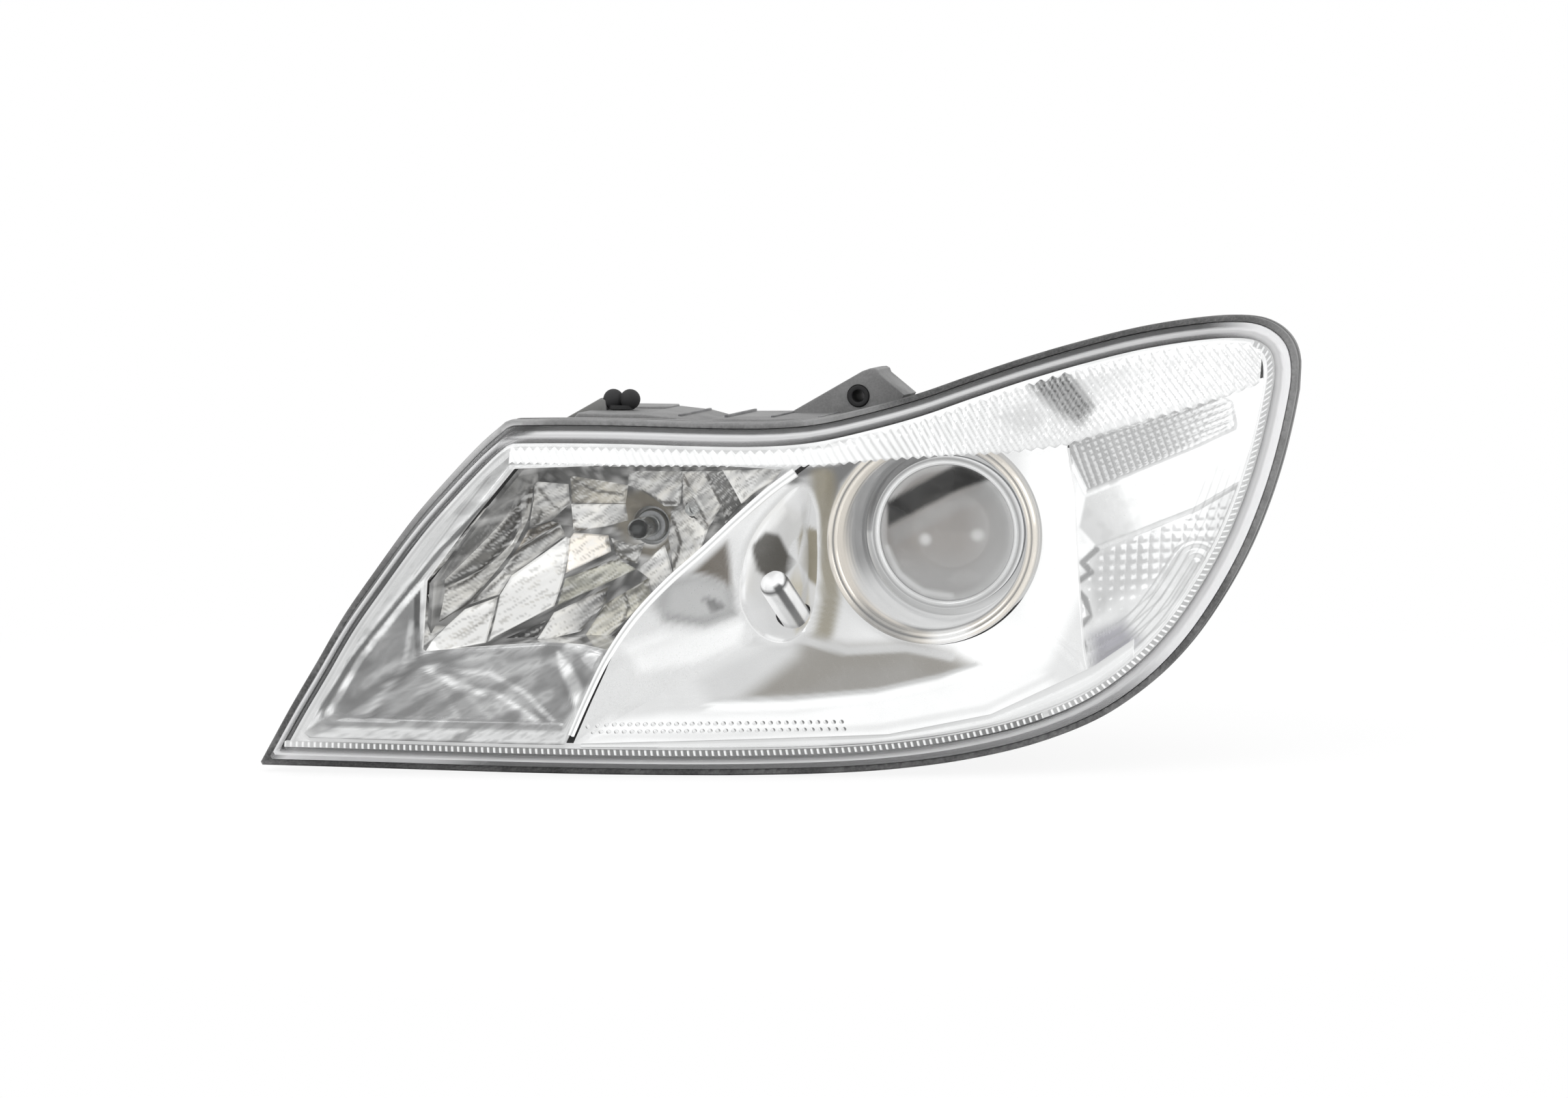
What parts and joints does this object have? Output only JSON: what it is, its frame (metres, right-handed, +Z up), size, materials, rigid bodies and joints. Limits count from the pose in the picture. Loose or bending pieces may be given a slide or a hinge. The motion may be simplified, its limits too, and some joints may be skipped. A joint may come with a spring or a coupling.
{
  "type": "car headlight",
  "caption": "Left-hand car headlight with a round projector low beam, a faceted high-beam reflector, a turn lamp bowl, a swept clear cover and a dark housing with aiming gear.",
  "frame": {"origin": "on the flat underside of the lower mounting foot; the optical centre of the projector lens is at (0.126, -0.026, 0.106)", "axes": "-Y is the car's driving direction and the way the lamp shines, +X points outboard to the wing, +Z is up"},
  "size_m": [0.4831, 0.2999, 0.2209],
  "materials": {
    "housing_plastic": "grained black-grey polypropylene",
    "clear_polycarbonate": "clear hard-coated polycarbonate",
    "sealant": "butyl sealant",
    "bright_chrome": "bright aluminised plastic",
    "smoked_chrome": "darker satin-metallised plastic",
    "mirror_coating": "vacuum-aluminised reflector",
    "lamp_glass": "clear lamp glass",
    "die_cast": "as-cast aluminium",
    "zinc_steel": "zinc-plated steel",
    "black_plastic": "black nylon",
    "white_nylon": "natural nylon",
    "rubber": "EPDM rubber",
    "silver_cap": "silver-coated bulb"
  },
  "bodies": {
    "housing": {"housing": "housing_plastic", "cover_lens": "clear_polycarbonate", "lens_sealant": "sealant", "bezel": "bright_chrome", "inner_bezel": "bright_chrome", "divider_trim": "bright_chrome", "side_reflector": "smoked_chrome", "turn_reflector": "bright_chrome", "projector_shroud": "smoked_chrome", "upper_trim": "bright_chrome", "lower_trim": "bright_chrome", "vent_cap": "rubber", "main_connector": "black_plastic", "harness": "rubber", "upper_outer_grommet": "rubber", "lower_grommet": "rubber", "side_grommet": "rubber", "upper_stop_buffer": "rubber", "pivot_ball_stud": "zinc_steel", "leveling_motor": "black_plastic", "motor_screw_1": "zinc_steel", "motor_screw_2": "zinc_steel", "horizontal_adjuster_bush": "white_nylon"},
    "aim_gimbal": {"pivot_socket": "white_nylon"},
    "carrier": {"carrier_frame": "black_plastic", "projector_lens": "lamp_glass", "lens_retaining_ring": "bright_chrome", "lens_holder": "die_cast", "projector_reflector": "mirror_coating", "cutoff_shield": "zinc_steel", "low_beam_bulb": "lamp_glass", "low_beam_bulb_base": "die_cast", "bulb_retainer": "zinc_steel", "low_beam_plug": "black_plastic", "projector_screw_1": "zinc_steel", "projector_screw_2": "zinc_steel", "projector_screw_3": "zinc_steel", "high_beam_reflector": "mirror_coating", "high_beam_bulb": "lamp_glass", "high_beam_bulb_base": "die_cast", "high_beam_plug": "black_plastic", "high_beam_screw_1": "zinc_steel", "high_beam_screw_2": "zinc_steel", "high_beam_screw_3": "zinc_steel", "parking_bulb": "lamp_glass", "parking_bulb_holder": "black_plastic", "level_socket": "white_nylon", "trim_socket": "white_nylon"},
    "motor_spindle": {"motor_spindle": "white_nylon"},
    "vertical_adjuster": {"vertical_adjuster_knob": "white_nylon"},
    "horizontal_slider": {"horizontal_adjuster_slider": "white_nylon"},
    "horizontal_adjuster": {"horizontal_adjuster_screw": "zinc_steel"},
    "low_beam_cap": {"low_beam_cap": "black_plastic", "low_beam_cap_seal": "rubber"},
    "high_beam_cap": {"high_beam_cap": "rubber"},
    "turn_lamp": {"turn_bulb": "silver_cap", "turn_bulb_holder": "black_plastic"}
  },
  "joints": [
    {"name": "aim_yaw", "type": "hinge", "parent": "housing", "child": "aim_gimbal", "pos_m": [0.036, 0.02, 0.136], "axis": [0, 0, 1], "range_deg": [-2, 2]},
    {"name": "aim_pitch", "type": "hinge", "parent": "aim_gimbal", "child": "carrier", "pos_m": [0.036, 0.02, 0.136], "axis": [1, 0, 0], "range_deg": [-2, 2]},
    {"name": "spindle_slide", "type": "slide", "parent": "housing", "child": "motor_spindle", "axis": [0, 1, 0], "range_m": [-0.0032, 0.0032]},
    {"name": "vertical_adjuster_turn", "type": "hinge", "parent": "housing", "child": "vertical_adjuster", "pos_m": [0.042, 0.07, 0.037], "axis": [0, 1, 0], "range_deg": [-190, 190]},
    {"name": "horizontal_slide", "type": "slide", "parent": "housing", "child": "horizontal_slider", "axis": [0, 1, 0], "range_m": [-0.0058, 0.0058]},
    {"name": "horizontal_adjuster_turn", "type": "hinge", "parent": "housing", "child": "horizontal_adjuster", "pos_m": [0.2, 0.064, 0.136], "axis": [0, 1, 0], "range_deg": [-345, 345]},
    {"name": "low_beam_cap_twist", "type": "hinge", "parent": "housing", "child": "low_beam_cap", "pos_m": [0.126, 0.116, 0.106], "axis": [0, 1, 0], "range_deg": [0, 30]},
    {"name": "high_beam_cap_pull", "type": "slide", "parent": "housing", "child": "high_beam_cap", "axis": [0, 1, 0], "range_m": [0, 0.04]},
    {"name": "turn_lamp_twist", "type": "hinge", "parent": "housing", "child": "turn_lamp", "pos_m": [0.058, -0.046, 0.057], "axis": [-0.2202, -0.7167, 0.6617], "range_deg": [0, 45]}
  ],
  "couplings": [
    {"joint": "spindle_slide", "follows": "aim_pitch", "m_per_rad": 0.09},
    {"joint": "vertical_adjuster_turn", "follows": "aim_pitch", "ratio": 94.248},
    {"joint": "horizontal_slide", "follows": "aim_yaw", "m_per_rad": 0.164},
    {"joint": "horizontal_adjuster_turn", "follows": "aim_yaw", "ratio": 171.74}
  ]
}
